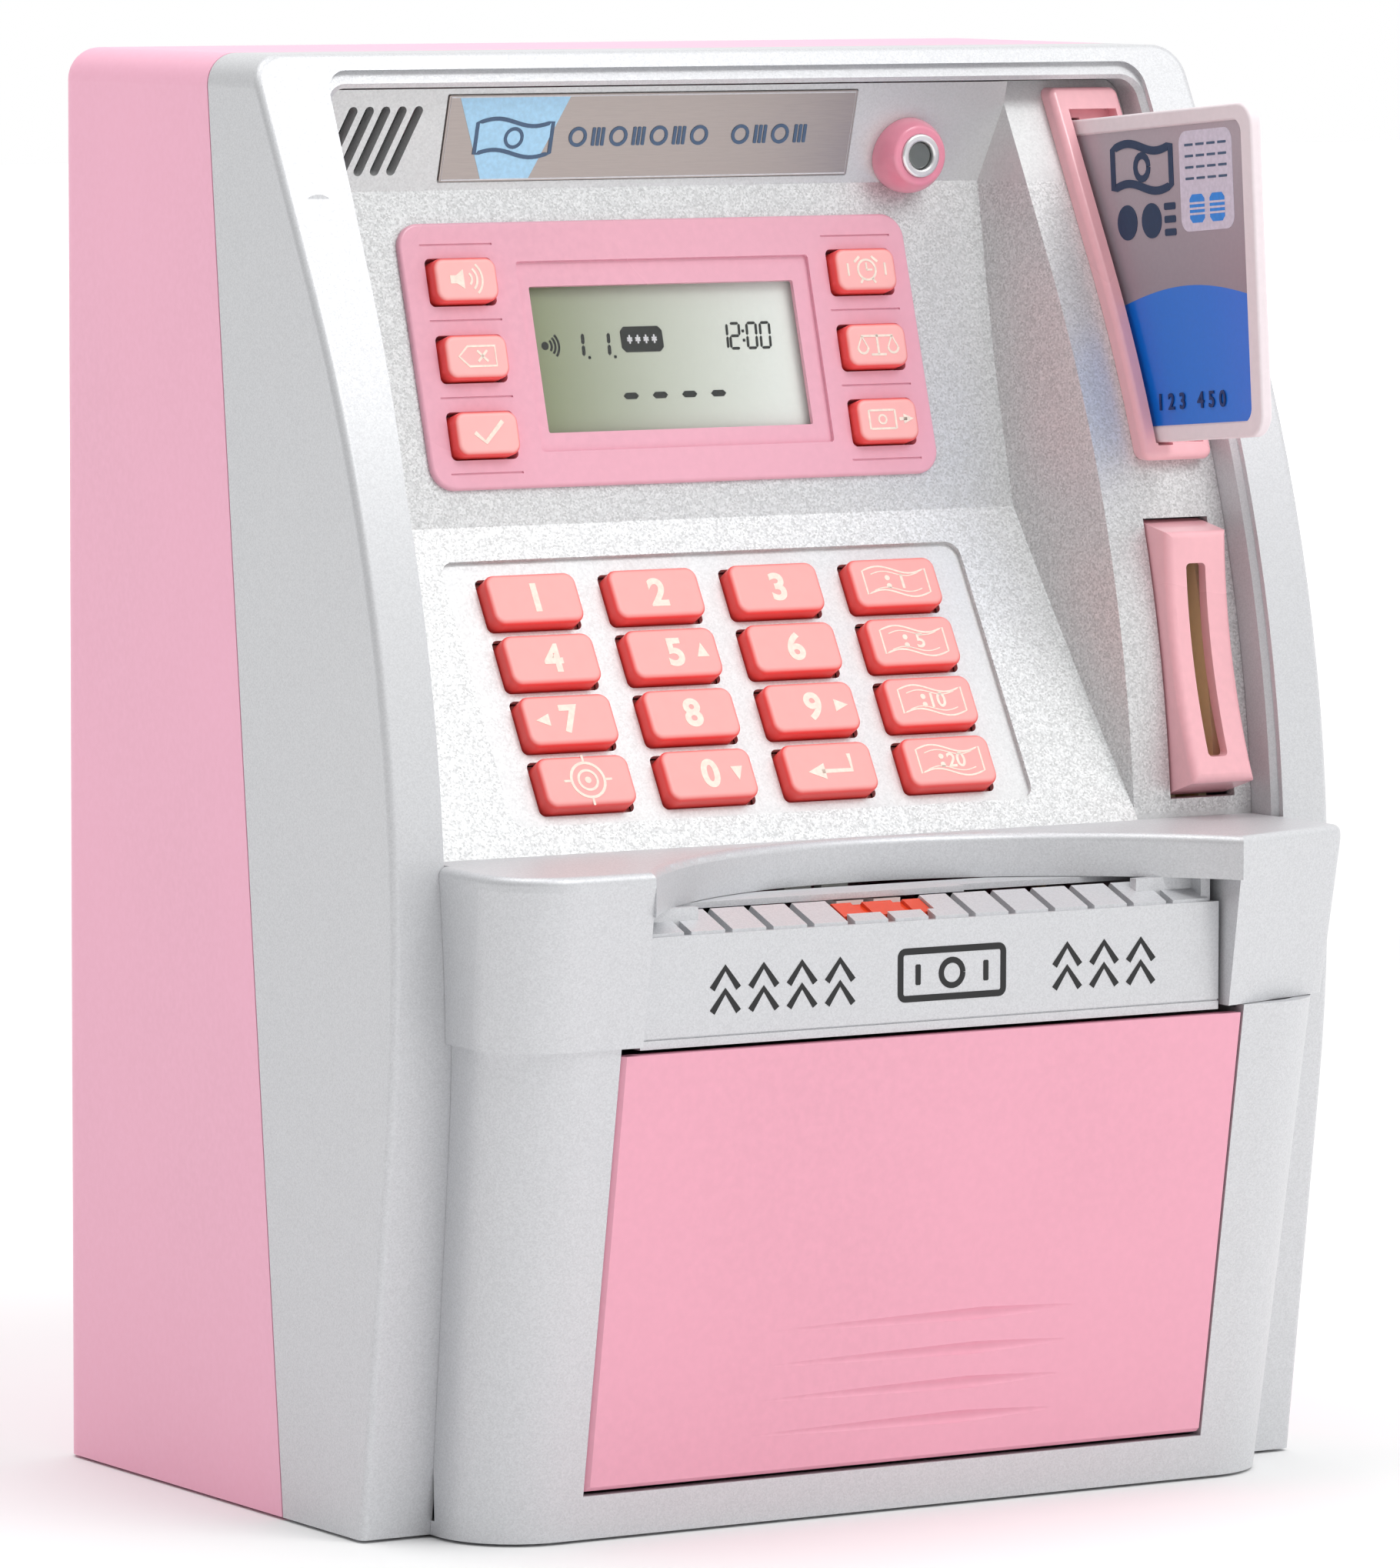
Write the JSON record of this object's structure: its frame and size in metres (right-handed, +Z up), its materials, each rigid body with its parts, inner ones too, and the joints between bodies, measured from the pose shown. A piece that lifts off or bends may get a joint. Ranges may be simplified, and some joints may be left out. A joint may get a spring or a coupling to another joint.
{
  "type": "toy cash machine savings bank",
  "caption": "Toy cash-machine money box with a sloping console, keypad, display, card slot, coin slot, motor-fed bill tray and a drop-down vault door.",
  "frame": {"origin": "middle of the bank's footprint box on the table", "axes": "+X to the right of someone facing the bank, +Y to the back, +Z up"},
  "size_m": [0.183, 0.1386, 0.24],
  "materials": {
    "silver_paint": "satin metallic silver paint with a fine grain",
    "silver_sparkle": "metallic silver paint with a coarser grain",
    "door_pink": "smooth satin pink",
    "shell_pink": "smooth satin pink",
    "bezel_pink": "glossy deeper pink",
    "trim_pink": "glossy salmon pink",
    "key_rubber": "matt coral pink",
    "brushed_plate": "brushed",
    "chrome_trim": "polished",
    "lens_glass": "dark polished dome",
    "speaker_black": "black paper cone and steel basket",
    "window_clear": "clear",
    "display_grey": "grey-green liquid crystal glass in a white holder",
    "board_green": "green solder mask",
    "card_plastic": "printed card with a pale rim",
    "chute_tan": "tan",
    "white_plastic": "white",
    "sensor_orange": "translucent orange",
    "roller_rubber": "black, matt",
    "screw_steel": "zinc plated",
    "contact_steel": "nickel plated",
    "cell_wrap": "foil wrap",
    "coil_copper": "enamelled copper wire",
    "vault_grey": "plain moulded grey"
  },
  "bodies": {
    "case": {"battery_cells": "cell_wrap", "battery_contacts": "contact_steel", "bill_guide": "silver_paint", "bill_sensor": "sensor_orange", "bill_tray": "silver_paint", "camera_housing": "trim_pink", "camera_lens": "lens_glass", "camera_ring": "chrome_trim", "card_bezel": "trim_pink", "coin_bezel": "trim_pink", "coin_chute": "chute_tan", "console_panel": "silver_sparkle", "display_board": "board_green", "feed_motor": "screw_steel", "front_frame": "silver_paint", "keypad_board": "board_green", "latch_coil": "coil_copper", "lcd_bezel": "bezel_pink", "lcd_module": "display_grey", "lcd_window": "window_clear", "lower_front": "silver_paint", "nameplate": "brushed_plate", "rear_cover": "shell_pink", "screws": "screw_steel", "shelf": "silver_paint", "speaker": "speaker_black", "vault_box": "vault_grey"},
    "card": {"card": "card_plastic"},
    "door": {"vault_door": "door_pink"},
    "latch": {"door_latch": "white_plastic"},
    "battery_lid": {"battery_cover": "shell_pink"},
    "coin_finger_upper": {"coin_lever_upper": "white_plastic"},
    "coin_finger_lower": {"coin_lever_lower": "white_plastic"},
    "bill_feeler": {"bill_lever": "white_plastic"},
    "drive_roller": {"feed_shaft": "white_plastic", "feed_tyres": "roller_rubber"},
    "pinch": {"pinch_roller": "screw_steel"},
    "pinion": {"motor_pinion": "white_plastic"},
    "key_body_1": {"key_1": "key_rubber"},
    "key_body_2": {"key_2": "key_rubber"},
    "key_body_3": {"key_3": "key_rubber"},
    "key_body_note_1": {"key_note_1": "key_rubber"},
    "key_body_4": {"key_4": "key_rubber"},
    "key_body_5": {"key_5": "key_rubber"},
    "key_body_6": {"key_6": "key_rubber"},
    "key_body_note_5": {"key_note_5": "key_rubber"},
    "key_body_7": {"key_7": "key_rubber"},
    "key_body_8": {"key_8": "key_rubber"},
    "key_body_9": {"key_9": "key_rubber"},
    "key_body_note_10": {"key_note_10": "key_rubber"},
    "key_body_target": {"key_target": "key_rubber"},
    "key_body_0": {"key_0": "key_rubber"},
    "key_body_enter": {"key_enter": "key_rubber"},
    "key_body_note_20": {"key_note_20": "key_rubber"},
    "button_body_sound": {"button_sound": "key_rubber"},
    "button_body_clear": {"button_clear": "key_rubber"},
    "button_body_set": {"button_set": "key_rubber"},
    "button_body_alarm": {"button_alarm": "key_rubber"},
    "button_body_balance": {"button_balance": "key_rubber"},
    "button_body_withdraw": {"button_withdraw": "key_rubber"}
  },
  "joints": [
    {"name": "press_key_1", "type": "slide", "parent": "case", "child": "key_body_1", "axis": [0, 0.8612, -0.5082], "range_m": [0, 0.0012], "stiffness_N_per_m": 400},
    {"name": "press_key_2", "type": "slide", "parent": "case", "child": "key_body_2", "axis": [0, 0.8612, -0.5082], "range_m": [0, 0.0012], "stiffness_N_per_m": 400},
    {"name": "press_key_3", "type": "slide", "parent": "case", "child": "key_body_3", "axis": [0, 0.8612, -0.5082], "range_m": [0, 0.0012], "stiffness_N_per_m": 400},
    {"name": "press_key_note_1", "type": "slide", "parent": "case", "child": "key_body_note_1", "axis": [0, 0.8612, -0.5082], "range_m": [0, 0.0012], "stiffness_N_per_m": 400},
    {"name": "press_key_4", "type": "slide", "parent": "case", "child": "key_body_4", "axis": [0, 0.8612, -0.5082], "range_m": [0, 0.0012], "stiffness_N_per_m": 400},
    {"name": "press_key_5", "type": "slide", "parent": "case", "child": "key_body_5", "axis": [0, 0.8612, -0.5082], "range_m": [0, 0.0012], "stiffness_N_per_m": 400},
    {"name": "press_key_6", "type": "slide", "parent": "case", "child": "key_body_6", "axis": [0, 0.8612, -0.5082], "range_m": [0, 0.0012], "stiffness_N_per_m": 400},
    {"name": "press_key_note_5", "type": "slide", "parent": "case", "child": "key_body_note_5", "axis": [0, 0.8612, -0.5082], "range_m": [0, 0.0012], "stiffness_N_per_m": 400},
    {"name": "press_key_7", "type": "slide", "parent": "case", "child": "key_body_7", "axis": [0, 0.8612, -0.5082], "range_m": [0, 0.0012], "stiffness_N_per_m": 400},
    {"name": "press_key_8", "type": "slide", "parent": "case", "child": "key_body_8", "axis": [0, 0.8612, -0.5082], "range_m": [0, 0.0012], "stiffness_N_per_m": 400},
    {"name": "press_key_9", "type": "slide", "parent": "case", "child": "key_body_9", "axis": [0, 0.8612, -0.5082], "range_m": [0, 0.0012], "stiffness_N_per_m": 400},
    {"name": "press_key_note_10", "type": "slide", "parent": "case", "child": "key_body_note_10", "axis": [0, 0.8612, -0.5082], "range_m": [0, 0.0012], "stiffness_N_per_m": 400},
    {"name": "press_key_target", "type": "slide", "parent": "case", "child": "key_body_target", "axis": [0, 0.8612, -0.5082], "range_m": [0, 0.0012], "stiffness_N_per_m": 400},
    {"name": "press_key_0", "type": "slide", "parent": "case", "child": "key_body_0", "axis": [0, 0.8612, -0.5082], "range_m": [0, 0.0012], "stiffness_N_per_m": 400},
    {"name": "press_key_enter", "type": "slide", "parent": "case", "child": "key_body_enter", "axis": [0, 0.8612, -0.5082], "range_m": [0, 0.0012], "stiffness_N_per_m": 400},
    {"name": "press_key_note_20", "type": "slide", "parent": "case", "child": "key_body_note_20", "axis": [0, 0.8612, -0.5082], "range_m": [0, 0.0012], "stiffness_N_per_m": 400},
    {"name": "press_button_sound", "type": "slide", "parent": "case", "child": "button_body_sound", "axis": [0, 0.9616, -0.2745], "range_m": [0, 0.0012], "stiffness_N_per_m": 400},
    {"name": "press_button_clear", "type": "slide", "parent": "case", "child": "button_body_clear", "axis": [0, 0.9616, -0.2745], "range_m": [0, 0.0012], "stiffness_N_per_m": 400},
    {"name": "press_button_set", "type": "slide", "parent": "case", "child": "button_body_set", "axis": [0, 0.9616, -0.2745], "range_m": [0, 0.0012], "stiffness_N_per_m": 400},
    {"name": "press_button_alarm", "type": "slide", "parent": "case", "child": "button_body_alarm", "axis": [0, 0.9616, -0.2745], "range_m": [0, 0.0012], "stiffness_N_per_m": 400},
    {"name": "press_button_balance", "type": "slide", "parent": "case", "child": "button_body_balance", "axis": [0, 0.9616, -0.2745], "range_m": [0, 0.0012], "stiffness_N_per_m": 400},
    {"name": "press_button_withdraw", "type": "slide", "parent": "case", "child": "button_body_withdraw", "axis": [0, 0.9616, -0.2745], "range_m": [0, 0.0012], "stiffness_N_per_m": 400},
    {"name": "card_slide", "type": "slide", "parent": "case", "child": "card", "axis": [0, -0.9965, 0.0837], "range_m": [-0.007, 0.07]},
    {"name": "door_hinge", "type": "hinge", "parent": "case", "child": "door", "pos_m": [0, -0.0489, 0.012], "axis": [1, 0, 0], "range_deg": [0, 90]},
    {"name": "latch_slide", "type": "slide", "parent": "case", "child": "latch", "axis": [0, 0, 1], "range_m": [-0.0034, 0], "stiffness_N_per_m": 60},
    {"name": "battery_lid_slide", "type": "slide", "parent": "case", "child": "battery_lid", "axis": [0, 1, 0], "range_m": [0, 0.02]},
    {"name": "coin_finger_upper_pivot", "type": "hinge", "parent": "case", "child": "coin_finger_upper", "pos_m": [0.0628, -0.0206, 0.141], "axis": [0, 0, 1], "range_deg": [0, 35], "stiffness_Nm_per_rad": 0.0005},
    {"name": "coin_finger_lower_pivot", "type": "hinge", "parent": "case", "child": "coin_finger_lower", "pos_m": [0.0628, -0.0206, 0.1231], "axis": [0, 0, 1], "range_deg": [0, 35], "stiffness_Nm_per_rad": 0.0005},
    {"name": "bill_feeler_pivot", "type": "hinge", "parent": "case", "child": "bill_feeler", "pos_m": [0, -0.033, 0.1049], "axis": [1, 0, 0], "range_deg": [0, 6], "stiffness_Nm_per_rad": 0.002},
    {"name": "drive_roller_spin", "type": "hinge", "parent": "case", "child": "drive_roller", "pos_m": [0, -0.033, 0.0958], "axis": [1, 0, 0], "continuous": true},
    {"name": "pinch_spin", "type": "hinge", "parent": "case", "child": "pinch", "pos_m": [0, -0.033, 0.1049], "axis": [1, 0, 0], "continuous": true},
    {"name": "pinion_spin", "type": "hinge", "parent": "case", "child": "pinion", "pos_m": [-0.0548, -0.02315, 0.0958], "axis": [1, 0, 0], "continuous": true}
  ],
  "couplings": [
    {"joint": "pinch_spin", "follows": "drive_roller_spin", "ratio": -2.4},
    {"joint": "pinion_spin", "follows": "drive_roller_spin", "ratio": -2}
  ]
}
